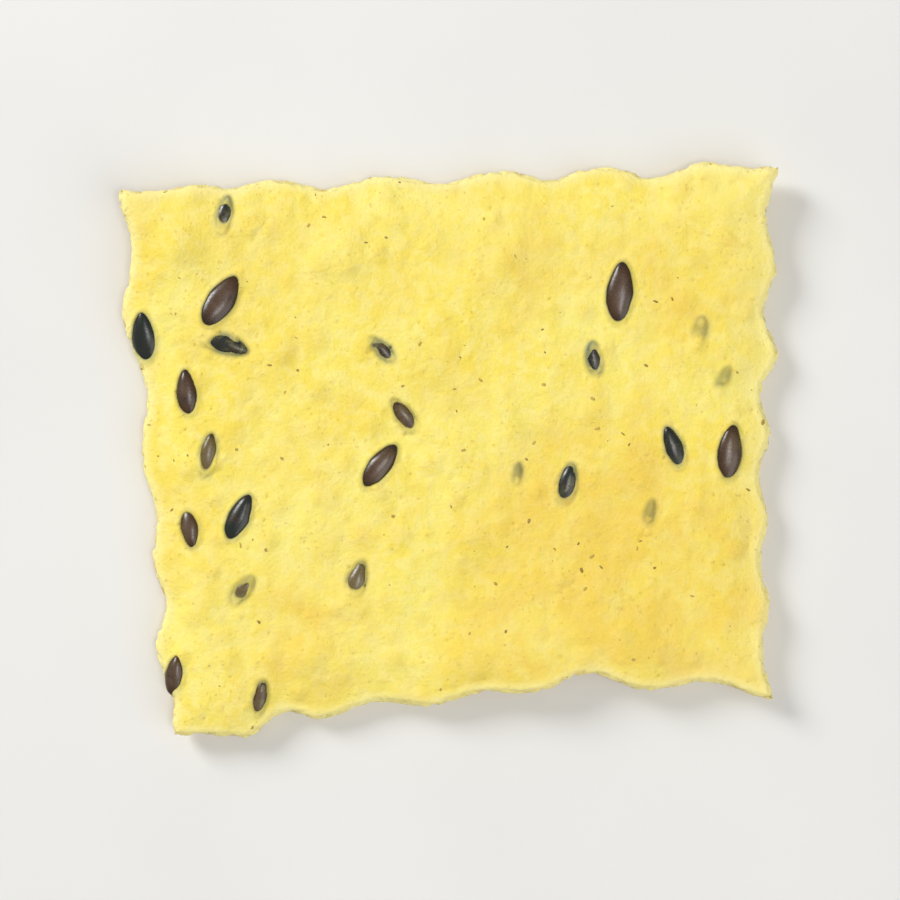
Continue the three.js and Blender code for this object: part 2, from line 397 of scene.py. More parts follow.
def new_tree(name, kind, inputs, outputs):
    """A node tree and its two ends. An input is given as a value like those it takes, or as its kind."""
    tree = bpy.data.node_groups.new(name, kind)
    for label, value in inputs.items():
        socket_kind = value if isinstance(value, str) else type(value).__name__.capitalize()
        socket = tree.interface.new_socket(label, in_out="INPUT", socket_type="NodeSocket" + socket_kind)
        if isinstance(value, (int, float)):
            socket.default_value = value
    for label, socket_kind in outputs.items():
        tree.interface.new_socket(label, in_out="OUTPUT", socket_type="NodeSocket" + socket_kind)
    nodes = Nodes(tree)
    return nodes, nodes.add("NodeGroupInput"), nodes.new("NodeGroupOutput").inputs


def geometry_tree(name, values):
    """A geometry tree with an input for each of these named values."""
    return new_tree(name, "GeometryNodeTree", {"Geometry": "Geometry"} | values, {"Geometry": "Geometry"})


def put_through(piece, tree_of, values):
    """Runs a piece through its geometry tree with these values, and makes the result its plain mesh."""
    tree = tree_of(values)
    modifier = piece.modifiers.new(tree.name, "NODES")
    modifier.node_group = tree
    names = {item.name: item.identifier for item in tree.interface.items_tree if item.in_out == "INPUT"}
    for label, value in values.items():
        modifier[names[label]] = value
    bpy.context.view_layer.update()
    depsgraph = bpy.context.evaluated_depsgraph_get()
    made = bpy.data.meshes.new_from_object(
        piece.evaluated_get(depsgraph), preserve_all_data_layers=True, depsgraph=depsgraph
    )
    piece.modifiers.remove(modifier)
    raw = piece.data
    piece.data = made
    bpy.data.meshes.remove(raw)
    made.name = piece.name


def new_piece(name, vertices, faces=()):
    mesh = bpy.data.meshes.new(name)
    mesh.from_pydata(vertices.tolist(), [], faces)
    piece = bpy.data.objects.new(name, mesh)
    bpy.context.scene.collection.objects.link(piece)
    return piece


def write_attributes(piece, **attributes):
    """Stores numbers or vectors on the piece's vertices."""
    for name, values in attributes.items():
        kind, field = ("FLOAT_VECTOR", "vector") if values.ndim == 2 else ("FLOAT", "value")
        made = piece.data.attributes.new(name, kind, "POINT")
        made.data.foreach_set(field, values.astype(np.float32).ravel())


def hand_over(piece):
    """Gives a finished piece to the frame, in the place of the plain solid."""
    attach(piece, "root")
    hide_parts("biscuit")


# ---- Flaxseeds ----

SEED_THICKNESS = 1
THICKNESS_RANGE, WIDTH_RANGE = (0.9, 1), (0.93, 1.07)  # how unequal the seeds are
PROUD = 0.45  # how far a fully bare seed stands above the dough
DIPS = (16, 2)  # degrees that the blunt end lies lower, on a nearly covered seed and on a bare one
SLOPE_REACH = 0.5  # a seed follows the slope of the dough this far round it
SEED_SEGMENTS, SEED_RINGS = 28, 18
SEED_WAVES = 700  # waves of a seed's outline on a metre
FINE_BAND = 0.6  # the dough's mesh is finer this far round a seed

# Seeds of the top face: (x, y, length, turn of the pointed end from +X in degrees, how bare it lies, from 1
# on the surface to 0 under the skin, tone of its shell, from 0, greenish black, over brown to 1, olive).
TOP_SEEDS = (
    (-18.3, 18.7, 3.6, 80, 0.4, 0.2), (-18.5, 12.1, 4.9, 57, 1, 0.45), (-18.4, 8.6, 4.2, -16, 0.5, 0.15),
    (-24.8, 9.1, 4.2, 94, 0.95, 0), (-21.3, 4.6, 3.8, 94, 0.95, 0.45), (-19.6, -0.5, 3.7, 80, 0.6, 0.9),
    (-21.1, -6.3, 3.4, -80, 0.8, 0.6), (-17.1, -5.5, 4.1, 65, 0.95, 0.1), (-17, -11.6, 3.4, 50, 0.35, 0.85),
    (-22.3, -18.2, 3.4, 80, 0.8, 0.5), (-15.5, -20.2, 3.3, 77, 0.6, 0.7), (-7.6, -10.6, 3.5, 72, 0.55, 0.85),
    (-5.7, -1.3, 4.3, 52, 0.9, 0.55), (-3.6, 2.6, 3.6, 125, 0.6, 0.65), (-5.3, 7.9, 3.2, 135, 0.35, 0.25),
    (13.7, 12.7, 5.1, 84, 1, 0.5), (11.7, 7.1, 3.4, 100, 0.4, 0.1), (18.1, 0.1, 3.7, 110, 0.75, 0.05),
    (22.6, -0.2, 4.7, 83, 1, 0.6), (9.4, -2.9, 3.7, 75, 0.6, 0.1),
    (21.9, 5.6, 2.6, 60, 0.12, 0.9), (20.1, 9.1, 3.4, 80, 0, 0.5), (5.4, -2.2, 2.4, 80, 0.05, 0.5),
    (16.1, -5.5, 3, 80, 0, 0.5),
)
# Seeds of the underside: the four that the biscuit stands on, as (x, y, length, turn), and the others.
RESTING_SEEDS = (
    (-20.5, -13, 4.3, 24), (22.6, -11.5, 3.9, 10), (22.5, 7.4, 4.1, 110), (-19.5, 10, 4.4, -12),
)
UNDER_SEEDS = (0.13, 24, (45, 38))  # start of the row, count, spread
UNDER_LENGTHS = (3.5, 4.8)
UNDER_SEED_PROUD = (0.05, 0.11)  # where the underside is flat, and where it curled up


class SeedSettings(PropertyGroup):
    """Sizes and colours of the flaxseeds."""

    width: share_setting("Width", 0.45, "Width of a seed as a share of its length", 0.2, 0.9)
    point: share_setting("Point", 0.26, "How much narrower a seed gets towards its pointed end", 0, 0.9)
    edge: share_setting("Edge", 0.25, "How much thinner a seed gets towards its rim", 0, 0.9)
    wobble: length_setting("Wobble", 0.07, "How far a seed's outline strays from a true oval")
    black: colour_setting("Black", (28, 36, 32), "Colour of the darkest, greenish shells")
    brown: colour_setting("Brown", (70, 46, 26), "Colour of most shells")
    olive: colour_setting("Olive", (104, 88, 40), "Colour of the palest shells")


def seed_tree(values):
    """Geometry tree: a flaxseed on every point, turned and sized by the point's attributes."""
    nodes, given, result = geometry_tree("lay seeds", values)
    ball = nodes.ball(SEED_SEGMENTS, SEED_RINGS)
    lying = nodes.add("GeometryNodeTransform", {"Geometry": ball, "Rotation": (0, math.pi / 2, 0)})[0]
    x, y, z = nodes.parts(nodes.place())
    taper = 1 - given["Point"] * nodes.math("MAXIMUM", x * 2, 0)
    out = 4 * (x ** 2 + y ** 2)
    lens = 1 - given["Edge"] * out ** 2
    seed = nodes.store(nodes.moved(lying, Position=nodes.join(x, y * taper, z * lens)), "edge", out)

    slope, turn, size = (nodes.read(name, "FLOAT_VECTOR") for name in ("slope", "turn", "size"))
    upright = nodes.add("FunctionNodeAlignRotationToVector", {"Vector": slope}, axis="Z")[0]
    seeds = nodes.whole(nodes.laid(given["Geometry"], seed, upright, turn, size))
    wobble = nodes.scaled(nodes.stray(nodes.place(), SEED_WAVES), given["Wobble"] * 2)
    seeds = nodes.above_tray(nodes.moved(seeds, Offset=wobble))
    return nodes.finish(result, seeds, given["Material"])


def slopes(points, face):
    """The way up out of the dough at each point, for the top (0) or the underside (1)."""
    def height(step_x, step_y):
        moved = points + (step_x, step_y)
        return faces_at(moved, from_rim(moved))[face]
    normal = np.column_stack([
        height(-SLOPE_REACH, 0) - height(SLOPE_REACH, 0),
        height(0, -SLOPE_REACH) - height(0, SLOPE_REACH),
        np.full(len(points), 2 * SLOPE_REACH),
    ])
    return normal / np.linalg.norm(normal, axis=1)[:, None]


class BISCUIT_OT_lay_seeds(Operator):
    """Lay whole flaxseeds in both faces, bare, half buried or under a skin of dough"""

    bl_idname = "biscuit.lay_seeds"
    bl_label = "Lay flaxseeds"

    def execute(self, context):
        settings = context.scene.biscuit_seeds
        top, resting = np.array(TOP_SEEDS), np.array(RESTING_SEEDS)
        top_places, bare = top[:, :2], top[:, 4]
        surface = faces_at(top_places, from_rim(top_places))[0]
        top_height = surface + PROUD * bare - SEED_THICKNESS / 2
        top_turn = np.column_stack([0 * bare, -np.radians(between(DIPS, bare)), np.radians(top[:, 3])])

        places, first, second = even_places(*UNDER_SEEDS)
        surface = faces_at(places, from_rim(places))[1]
        curled = smooth((surface - STANDS_OFF) / STANDS_OFF)
        under_height = surface - between(UNDER_SEED_PROUD, curled) + SEED_THICKNESS / 2
        under_turn = np.concatenate([second * 2 * np.pi, np.radians(resting[:, 3])])
        under_turn = np.column_stack([0 * under_turn, 0 * under_turn, under_turn])
        rest_height = np.full(len(resting), SEED_THICKNESS / 2)
        level = np.tile((0, 0, 1), (len(resting), 1))

        plan = np.concatenate([top_places, places, resting[:, :2]]) + centre_shift
        height = np.concatenate([top_height, under_height, rest_height])
        length = np.concatenate([top[:, 2], between(UNDER_LENGTHS, first), resting[:, 2]])
        _, broad, thick = even_places(0, len(length), (1, 1))
        width = length * settings.width * between(WIDTH_RANGE, broad)
        thickness = SEED_THICKNESS * between(THICKNESS_RANGE, thick)
        thickness[-len(resting):] = SEED_THICKNESS

        piece = new_piece("flaxseeds", np.column_stack([plan, height]) * MM)
        write_attributes(
            piece,
            slope=np.concatenate([slopes(top_places, 0), slopes(places, 1), level]),
            turn=np.concatenate([top_turn, under_turn]),
            size=np.column_stack([length, width, thickness]) * MM,
            bare=np.concatenate([bare, np.ones(len(under_turn))]),
            tone=np.concatenate([top[:, 5], second, broad[-len(resting):]]),
        )
        put_through(piece, seed_tree, numbers_of(settings, "width") | {"Material": shell_material(settings)})
        hand_over(piece)
        return {"FINISHED"}


# ---- Dough ----

FACES_APART = 0.05  # metres between the parts of a pattern that the two faces read
WRINKLE_STRETCH = 2.6  # how much longer a wrinkle is than it is wide
# Round domes: least and most radius as shares of the spacing, and share of the places that have one.
BLISTER_DOMES = (0.28, 0.6, 0.55)
BUBBLE_DOMES = (0.25, 0.55, 0.5)
PORE_DOMES = (0.09, 0.17, 0.3)
CRUMB_DOMES = (0.4, 0.7, 0.8)
LEAST_DOME = 0.3  # height of the lowest dome as a share of the tallest
CRUMB_SPACING = 0.6
CRUMB_LAYERS = 750  # torn layers on a metre
LAYERS_SQUEEZED = 3.5  # how much thinner than wide a torn layer is
TORN_BAND = (0.1, 0.5)  # the crumb fades out between these distances from the cut
GRAIN_SPACING = 0.6
RIM_CALM = 1.2  # the relief fades in over this distance from the cut
CALM_ABOVE = (2.8, 3.5)  # and out between these heights, at the tops of the curls
UNDER_RELIEF = -0.8  # the tray kept the underside flat: there the blisters are hollows, a little shallower
LIP_REACH = 0.45  # how far round a seed the dough stands up
TUCK_UNDER = 0.35  # how deep the dough goes down below a seed
TUCK_OVER = (-0.15, 0.02)  # and the way in and out of the seed's surface over which it does
BARE_WINDOW = (0.15, 0.95)  # below the first a seed is covered, above the second the skin leaves it free
WIDEST_WINDOW = 1.3  # of the skin over a free seed: more than 1, which is the seed's rim
SKIN_EDGE = (-0.1, 0.1)  # how sharply the skin ends
RAGGED_WAVES, RAGGED_DEPTH = 1200, 0.7  # of the skin's torn edge: waves on a metre, and how far they reach
DARK_AND_SHADE_FADE = 0.18  # the dark of a seed under the skin, and the painted contact shade round a bare seed, fade over this much dough
BUBBLE_PUFF = 0.6  # how much of a blister's toasting a bubble gets


class DoughSettings(PropertyGroup):
    """Sizes and colours of the baked dough."""

    spacing: length_setting("Mesh spacing", 0.22, "Distance between the vertices of the surface")
    wrinkle_height: length_setting("Wrinkle height", 0.17, "Height of the long, gentle wrinkles")
    wrinkle_spacing: length_setting("Wrinkle spacing", 2.4, "Distance between wrinkles")
    blister_height: length_setting("Blister height", 0.26, "Height of the small blisters")
    blister_spacing: length_setting("Blister spacing", 3.2, "Distance between small blisters")
    bubble_height: length_setting("Bubble height", 0.12, "Height of the fine bubbles of the skin")
    bubble_spacing: length_setting("Bubble spacing", 1.3, "Distance between fine bubbles")
    pore_depth: length_setting("Pore depth", 0.16, "Depth of the pin holes that steam left")
    pore_spacing: length_setting("Pore spacing", 1.8, "Distance between pin holes")
    grain_height: length_setting("Grain height", 0.035, "Height of the flour's grain")
    crumb_depth: length_setting("Crumb depth", 0.26, "Depth of the crumb's holes in the cut rim")
    lip_height: length_setting("Lip height", 0.14, "How far the dough stands up round a seed")
    skin: length_setting("Skin", 0.07, "Thickness of the skin of dough over a buried seed")
    yellow: colour_setting("Yellow", (250, 227, 90), "Colour of most of the dough")
    cream: colour_setting("Cream", (252, 236, 122), "Colour of its paler parts")
    toast: colour_setting("Toast", (242, 202, 80), "Colour where it browned most")


def grid_shares(length, spacing):
    """Where the rows of vertices cross a face of this length: close together round both its cuts."""
    rim = np.array(RIM_ROWS) / length
    count = 2 * round((length - 2 * RIM_ROWS[-1]) / spacing / 2)
    return np.concatenate([rim, np.linspace(rim[-1], 1 - rim[-1], count + 1)[1:-1], 1 - rim[::-1]])


def plan_grid(across, along):
    """Points in the outline: each row and column runs between two cuts and takes after both."""
    u, v = across[:, None, None], along[None, :, None]
    front, back = cut_points(FRONT, across)[:, None], cut_points(BACK, 1 - across)[:, None]
    left, right = cut_points(LEFT, 1 - along)[None], cut_points(RIGHT, along)[None]
    blend = (1 - v) * front + v * back + (1 - u) * left + u * right
    first, second, third, fourth = (np.array(cut["corner"]) for cut in CUTS)
    return blend - ((1 - u) * (1 - v) * first + u * (1 - v) * second + u * v * third + (1 - u) * v * fourth)


def grid_faces(columns, rows):
    """Faces of a whole grid, counterclockwise."""
    index = np.arange(columns * rows).reshape(columns, rows)
    corners = (index[:-1, :-1], index[1:, :-1], index[1:, 1:], index[:-1, 1:])
    return np.stack([corner.ravel() for corner in corners], axis=1).tolist()


def thinned_faces(columns, rows, frame_rows):
    """Faces of the same grid, clockwise, with every other line left out inside a frame of this many rows."""
    index = np.arange(columns * rows).reshape(columns, rows)
    low, high_column, high_row = frame_rows, columns - 1 - frame_rows, rows - 1 - frame_rows
    faces = []
    for i in range(columns - 1):
        for j in range(rows - 1):
            if not (low <= i < high_column and low <= j < high_row):
                faces.append([index[i, j], index[i, j + 1], index[i + 1, j + 1], index[i + 1, j]])
    round_cell = ((0, 0), (0, 1), (0, 2), (1, 2), (2, 2), (2, 1), (2, 0), (1, 0))
    for i in range(low, high_column, 2):
        for j in range(low, high_row, 2):
            # The point halfway along a side is kept only where the side meets the frame.
            last_column, last_row = i + 2 == high_column, j + 2 == high_row
            kept = {(0, 1): i == low, (1, 2): last_row, (2, 1): last_column, (1, 0): j == low}
            faces.append([index[i + a, j + b] for a, b in round_cell if kept.get((a, b), True)])
    return faces


def dough_sheet(spacing):
    """The closed sheet: a fine grid on the top and a coarser one on the underside, joined along the rim."""
    width, depth = np.ptp(rim_line, axis=0)
    plan = plan_grid(grid_shares(width, spacing), grid_shares(depth, spacing))
    columns, rows = plan.shape[:2]
    inner = np.zeros((columns, rows), bool)
    inner[1:-1, 1:-1] = True
    inner = inner.ravel()
    points = plan.reshape(-1, 2)
    inset = np.where(inner, from_rim(points), 0)
    top, bottom = faces_at(points, inset)
    placed = points + centre_shift
    vertices = np.concatenate([np.column_stack([placed, top]), np.column_stack([placed, bottom])]) * MM
    under = np.where(inner, len(points), 0) + np.arange(len(points))  # along the rim, the top's own vertices
    faces = grid_faces(columns, rows)
    faces += [[under[k] for k in face] for face in thinned_faces(columns, rows, len(RIM_ROWS) - 1)]
    piece = new_piece("dough", vertices, faces)
    underside = np.concatenate([np.where(inner, 0, 0.5), np.ones(len(points))])
    write_attributes(piece, inset=np.concatenate([inset, inset]) * MM, underside=underside)
    refine_round_seeds(piece)
    return piece


def refine_round_seeds(piece):
    """Halves the mesh of the top face round each seed, and drops the vertices that no face uses."""
    sheet = bmesh.new()
    sheet.from_mesh(piece.data)
    bmesh.ops.delete(sheet, geom=[v for v in sheet.verts if not v.link_faces], context="VERTS")
    under = sheet.verts.layers.float["underside"]
    reach = np.zeros(len(sheet.verts), bool)
    places = np.array([vertex.co.xy for vertex in sheet.verts]) / MM - centre_shift
    for x, y, length, turn, *_ in TOP_SEEDS:
        away = places - (x, y)
        cosine, sine = math.cos(math.radians(turn)), math.sin(math.radians(turn))
        ahead, aside = away @ (cosine, sine), away @ (-sine, cosine)
        half = length / 2 + FINE_BAND
        reach |= (ahead / half) ** 2 + (aside / (half - length / 4)) ** 2 < 1
    reach &= np.array([vertex[under] < 0.5 for vertex in sheet.verts])
    sheet.verts.index_update()
    edges = [edge for edge in sheet.edges if all(reach[vertex.index] for vertex in edge.verts)]
    bmesh.ops.subdivide_edges(sheet, edges=edges, cuts=1, use_grid_fill=True)
    sheet.to_mesh(piece.data)
    sheet.free()


def relief_tree(values):
    """Geometry tree: wrinkles, blisters, pores and grain, and dough drawn up round and over the seeds."""
    nodes, given, result = geometry_tree("dough relief", values)
    place, under, inset = nodes.place(), nodes.read("underside"), nodes.read("inset")
    # The two faces are closer together than a blister is wide, so each reads its own part of the pattern.
    shifted = nodes.vector("ADD", place, nodes.join(x=under * FACES_APART))

    def fading(value, low, high):
        """From 1 at the low to 0 at the high number of millimetres."""
        return value.stretch(low * MM, high * MM, 1, 0)

    def scattered_domes(spacing, least, most, share, dimensions="2D"):
        """Round domes 0 to 1 high, each of its own width, on some of the scattered points."""
        distance, (first, second, third) = nodes.cells(shifted, 1 / spacing, dimensions)
        radius = first.stretch(0, 1, least, most, "LINEAR")
        dome = nodes.math("SUBTRACT", 1, (distance / radius) ** 2, clamp=True)
        tall = second.stretch(0, 1, LEAST_DOME, 1, "LINEAR")
        return dome ** 2 * tall * nodes.math("LESS_THAN", third, share)

    def waves(spacing, height, stretched=1, detail=2):
        """Noise from minus to plus this height, longer along Y where it is stretched."""
        squeezed = nodes.vector("MULTIPLY", shifted, (1, 1 / stretched, 1))
        noise = nodes.noise(squeezed, 1 / spacing, detail, 0.55, 0.4)
        return (noise - 0.5) * (height * 2)

    blister = scattered_domes(given["Blister spacing"], *BLISTER_DOMES)
    bubble = scattered_domes(given["Bubble spacing"], *BUBBLE_DOMES)
    pore = scattered_domes(given["Pore spacing"], *PORE_DOMES)
    raised = blister * given["Blister height"] + bubble * given["Bubble height"] - pore * given["Pore depth"]
    raised = raised * under.stretch(0.5, 1, 1, UNDER_RELIEF, "LINEAR")
    raised = raised + waves(given["Wrinkle spacing"], given["Wrinkle height"], WRINKLE_STRETCH, 1)
    raised = raised * inset.stretch(0, RIM_CALM * MM) * fading(nodes.parts(place)[2], *CALM_ABOVE)
    raised = raised + waves(GRAIN_SPACING * MM, given["Grain height"])

    # The wheel tore the crumb open along the cut.
    squeezed = nodes.vector("MULTIPLY", place, (1, 1, LAYERS_SQUEEZED))
    layered = nodes.noise(squeezed, CRUMB_LAYERS, 3, 0.6).stretch(0.38, 0.62)
    crumb = scattered_domes(CRUMB_SPACING * MM, *CRUMB_DOMES, "3D")
    torn = (crumb + layered) * fading(inset, *TORN_BAND)
    raised = raised - torn * given["Crumb depth"]

    # Near a seed the dough stands up in a low lip, or covers it with a skin.
    seeds = nodes.shape_of(given["Seeds"])

    def at_seed(value, kind="FLOAT"):
        feed = {0: seeds, "Value": value}
        return nodes.add("GeometryNodeSampleNearestSurface", feed, data_type=kind)["Value"]

    near = nodes.add("GeometryNodeProximity", {0: seeds}, target_element="FACES")
    normal = nodes.add("GeometryNodeInputNormal")[0]
    away = nodes.vector("SUBTRACT", place, near["Position"])
    facing = nodes.vector("DOT_PRODUCT", away, at_seed(normal, "FLOAT_VECTOR"), out="Value")
    gap = near["Distance"] * nodes.math("SIGN", facing)
    lip = fading(gap, 0, LIP_REACH) * given["Lip height"] - fading(gap, *TUCK_OVER) * (TUCK_UNDER * MM)
    skin = nodes.math("MAXIMUM", given["Skin"] - gap, 0)
    window = at_seed(nodes.read("bare")).stretch(*BARE_WINDOW, 0, WIDEST_WINDOW, "LINEAR")
    ragged = (nodes.noise(place, RAGGED_WAVES, 1) - 0.5) * RAGGED_DEPTH
    covered = (at_seed(nodes.read("edge")) + ragged - window).stretch(*SKIN_EDGE)
    drawn = nodes.add("ShaderNodeMix", {0: covered, 2: lip, 3: skin}, data_type="FLOAT")[0]
    raised = raised + drawn * under.stretch(0.5, 1, 1, 0)

    shaped = nodes.above_tray(nodes.moved(given["Geometry"], Offset=nodes.scaled(normal, raised)))
    # Distance to the seeds: under a skin it gives the dark of a seed, round a bare seed a painted contact
    # shade.
    seed_distance = nodes.add("GeometryNodeProximity", {0: seeds}, target_element="FACES")["Distance"]
    for_material = {
        "over_seed": nodes.math("EXPONENT", seed_distance / (-DARK_AND_SHADE_FADE * MM)),
        "seed_tone": at_seed(nodes.read("tone")),
        "puffed": blister + bubble * BUBBLE_PUFF,
        "pore": pore,
        "torn": torn,
    }
    for name, value in for_material.items():
        shaped = nodes.store(shaped, name, value)
    return nodes.finish(result, shaped, given["Material"])


class BISCUIT_OT_bake_dough(Operator):
    """Cut the dough sheet out with the fluted wheel and bake its surface round the seeds"""

    bl_idname = "biscuit.bake_dough"
    bl_label = "Bake dough"

    def execute(self, context):
        settings = context.scene.biscuit_dough
        piece = dough_sheet(settings.spacing / MM)
        values = numbers_of(settings, "spacing")
        values |= {"Seeds": bpy.data.objects["flaxseeds"], "Material": dough_material(settings)}
        put_through(piece, relief_tree, values)
        hand_over(piece)
        return {"FINISHED"}


# ---- Bran ----

FLECK_SEGMENTS, FLECK_RINGS = 8, 4
CLUSTERS = 140  # clusters of flecks on a metre
CLUSTER_DENSITY = (0.25, 1.6)  # share of the density between the clusters and in them
SHORTEST, SHORTER = 0.5, 2.2  # a length is drawn from the first to 1 and raised to the second: few are long
FLECK_WIDTHS, FLECK_THICKNESS = (0.3, 0.75), 0.16  # as shares of the length
FLECK_WAVES, FLECK_BEND = 4000, 0.12  # a fleck's bends: waves on a metre, and how far they reach
OFF_SEEDS = 0.05  # flecks keep off the dough that a seed, or the painted shade round one, darkens more than this


class BranSettings(PropertyGroup):
    """Sizes and colours of the bran flecks."""

    density: FloatProperty(name="Density", description="Flecks on a square metre", default=60000, min=0)
    length: length_setting("Length", 0.5, "Length of the longest fleck")
    seed: IntProperty(name="Seed", description="Draws another spread of flecks", default=7)
    dark: colour_setting("Dark", (112, 88, 38), "Colour of the darkest flecks")
    pale: colour_setting("Pale", (220, 190, 92), "Colour of the palest flecks")


def bran_tree(values):
    """Geometry tree: thin flecks scattered in clusters over a surface, half sunk in it."""
    nodes, given, result = geometry_tree("strew bran", values)

    def draw(low, high, salt):
        feed = {2: low, 3: high, "Seed": given["Seed"] + salt}
        return nodes.add("FunctionNodeRandomValue", feed, data_type="FLOAT")[1]

    feed = {0: nodes.read("over_seed"), 1: OFF_SEEDS}
    clear = nodes.add("FunctionNodeCompare", feed, operation="LESS_THAN")[0]
    clustered = nodes.noise(nodes.place(), CLUSTERS, 1).stretch(0.38, 0.62, *CLUSTER_DENSITY)
    feed = {"Mesh": nodes.shape_of(given["Dough"]), "Selection": clear, "Seed": given["Seed"],
            "Density": given["Density"] * clustered}
    spread = nodes.add("GeometryNodeDistributePointsOnFaces", feed, distribute_method="RANDOM")
    turn = nodes.join(z=draw(0, 2 * math.pi, 1))
    long = given["Length"] * draw(SHORTEST, 1, 2) ** SHORTER
    size = nodes.join(long, long * draw(*FLECK_WIDTHS, 3), long * FLECK_THICKNESS)
    ball = nodes.ball(FLECK_SEGMENTS, FLECK_RINGS)
    laid = nodes.laid(spread["Points"], ball, spread["Rotation"], turn, size)
    flecks = nodes.whole(nodes.store(laid, "tone", draw(0, 1, 4), "INSTANCE"))
    bent = nodes.scaled(nodes.stray(nodes.place(), FLECK_WAVES), FLECK_BEND * MM)
    flecks = nodes.above_tray(nodes.moved(flecks, Offset=bent))
    return nodes.finish(result, flecks, given["Material"])


class BISCUIT_OT_strew_bran(Operator):
    """Strew flecks of bran over the dough, half sunk in it"""

    bl_idname = "biscuit.strew_bran"
    bl_label = "Strew bran"

    def execute(self, context):
        settings = context.scene.biscuit_bran
        piece = new_piece("bran_flecks", np.zeros((1, 3)))
        values = numbers_of(settings)
        values |= {"Dough": bpy.data.objects["dough"], "Material": bran_material(settings)}
        put_through(piece, bran_tree, values)
        hand_over(piece)
        return {"FINISHED"}


# ---- Materials ----

# Where the dough toasted most: (x, y, reach) in millimetres, and how much.
WARM_PLACES = (
    (15, -12, 20, 1.2), (21, 14, 11, 0.8), (-12, -15, 10, 0.7), (4, 16, 10, 0.45), (-14, 14, 8, 0.25),
)
PALE_RIGHT = (14, 24)  # the rim gets paler between these, going right: a painted highlight
# Specks in the dough: (spacing, greatest width, share of the places with one).
FLECKS, SMUDGES, DUST, PITS = (1.5, 0.3, 0.4), (2.6, 1.1, 0.3), (0.7, 0.16, 0.3), (0.62, 0.34, 0.6)


def shader_group(nodes, name, fill, feed, outputs):
    """Places the shader group of this name with its inputs fed; the first time, it is made and filled."""
    if name not in bpy.data.node_groups:
        inputs = dict.fromkeys(feed, "Float") | {"Vector": "Vector"}
        fill(*new_tree(name, "ShaderNodeTree", inputs, dict.fromkeys(outputs, "Float")))
    return nodes.add("ShaderNodeGroup", feed, node_tree=bpy.data.node_groups[name])


def fine_grain(nodes, place, size, sharpness):
    """Shader group: fine grain, as a height from 0 to 1."""
    def fill(nodes, given, result):
        grain = nodes.noise(given["Vector"], 1 / given["Size"], 3, given["Sharpness"])
        nodes.feed(result["Height"], grain)
    feed = {"Vector": place, "Size": size, "Sharpness": sharpness}
    return shader_group(nodes, "fine grain", fill, feed, ["Height"])["Height"]


def specks(nodes, place, spacing, width, share):
    """Shader group: scattered round specks of uneven size, as a mask, and a tone for each."""
    def fill(nodes, given, result):
        place = nodes.vector("ADD", given["Vector"], nodes.scaled(nodes.stray(given["Vector"], 5), 0.22))
        distance, (first, second, third) = nodes.cells(place, 1 / given["Spacing"])
        radius = given["Width"] * 0.5 / given["Spacing"] * first.stretch(0, 1, 0.4, 1, "LINEAR")
        mask = (1 - distance / radius).stretch(0, 0.5)
        nodes.feed(result["Mask"], mask * nodes.math("LESS_THAN", third, given["Share"]))
        nodes.feed(result["Tone"], second)
    feed = {"Vector": place, "Spacing": spacing, "Width": width, "Share": share}
    return shader_group(nodes, "specks", fill, feed, ["Mask", "Tone"])


def new_material(name, finish):
    """A material with its Principled shader's inputs, and the place on the piece in millimetres."""
    material = bpy.data.materials.new(name)
    material.use_nodes = True
    material.node_tree.nodes.clear()
    nodes = Nodes(material.node_tree)
    shader = nodes.new("ShaderNodeBsdfPrincipled", finish)
    nodes.new("ShaderNodeOutputMaterial", {"Surface": Output(nodes, shader.outputs[0])})
    feed = {"Vector": nodes.add("ShaderNodeTexCoord")["Object"], "Scale": (1 / MM, 1 / MM, 1 / MM)}
    return material, nodes, shader.inputs, nodes.add("ShaderNodeMapping", feed)[0]


def attribute(nodes, name):
    return nodes.add("ShaderNodeAttribute", attribute_name=name)["Fac"]


def dress(nodes, surface, colour, grain, height, roughness, strength, depth):
    """Feeds the colour, roughness from the grain, and a bump this many millimetres deep from the height."""
    nodes.feed(surface["Base Color"], colour)
    nodes.feed(surface["Roughness"], grain.stretch(0.3, 0.7, *roughness, "LINEAR"))
    bump = nodes.add("ShaderNodeBump", {"Strength": strength, "Distance": depth * MM, "Height": height})
    nodes.feed(surface["Normal"], bump[0])


def warmth(nodes, place, patches):
    """How much the dough toasted: in some places more, in patches, and where it puffed up."""
    near = 0
    flat = nodes.vector("MULTIPLY", place, (1, 1, 0))
    for x, y, reach, share in WARM_PLACES:
        away = nodes.vector("DISTANCE", flat, (x, y, 0), out="Value")
        near = near + away.stretch(0.15 * reach, reach, share, 0)
    patchy = patches(0.21, 0.38, 0.74) * near.stretch(0, 1.2, 0.35, 1.1, "LINEAR")
    return nodes.math("ADD", patchy + near * 0.42, attribute(nodes, "puffed") * 0.35, clamp=True)


